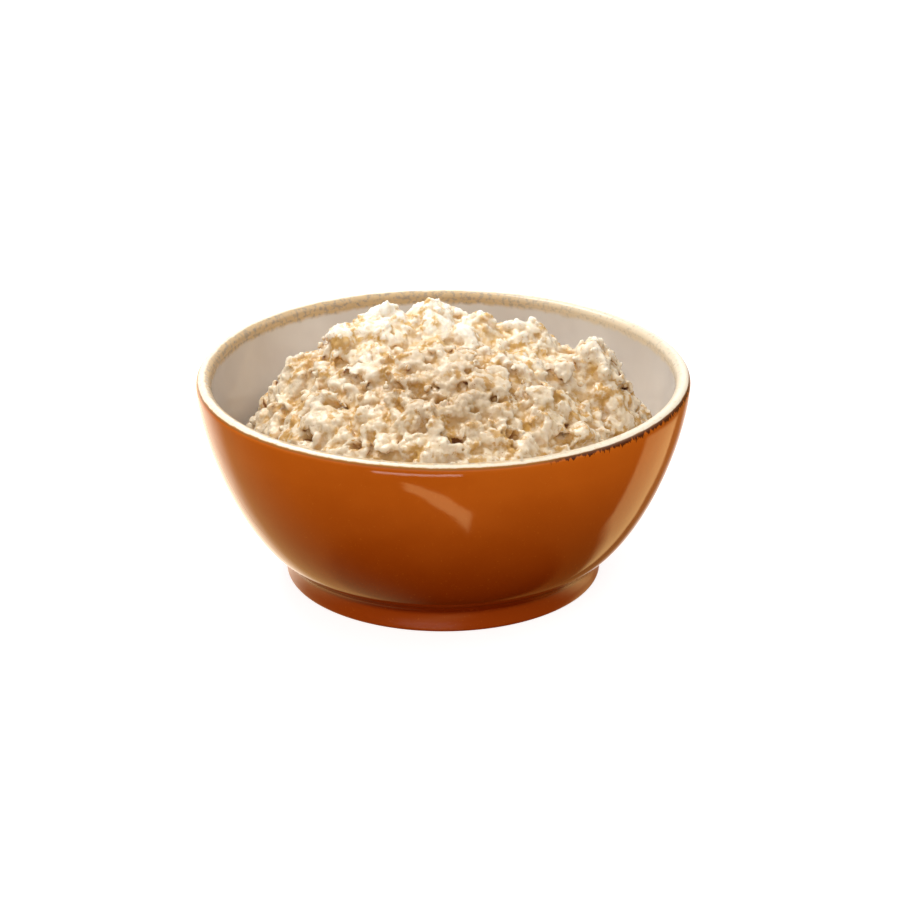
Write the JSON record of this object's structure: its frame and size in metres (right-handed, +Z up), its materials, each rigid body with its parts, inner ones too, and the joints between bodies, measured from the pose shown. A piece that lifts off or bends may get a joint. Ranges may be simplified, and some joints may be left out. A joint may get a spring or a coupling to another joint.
{
  "type": "bowl of porridge",
  "caption": "Round footed stoneware bowl holding a thick mound of oat porridge heaped above its rim.",
  "frame": {"origin": "middle of the underside of the foot ring, on the surface the bowl stands on", "axes": "+Z up along the bowl's axis; -Y towards the side seen from the front; +X to the right seen from the front"},
  "size_m": [0.125, 0.125, 0.071],
  "materials": {
    "bowl_glaze": "orange-brown glossy stoneware glaze, cream inside, pale lip",
    "oat_porridge": "moist cooked oats"
  },
  "bodies": {
    "root": {"bowl": "bowl_glaze", "porridge": "oat_porridge"}
  },
  "joints": []
}
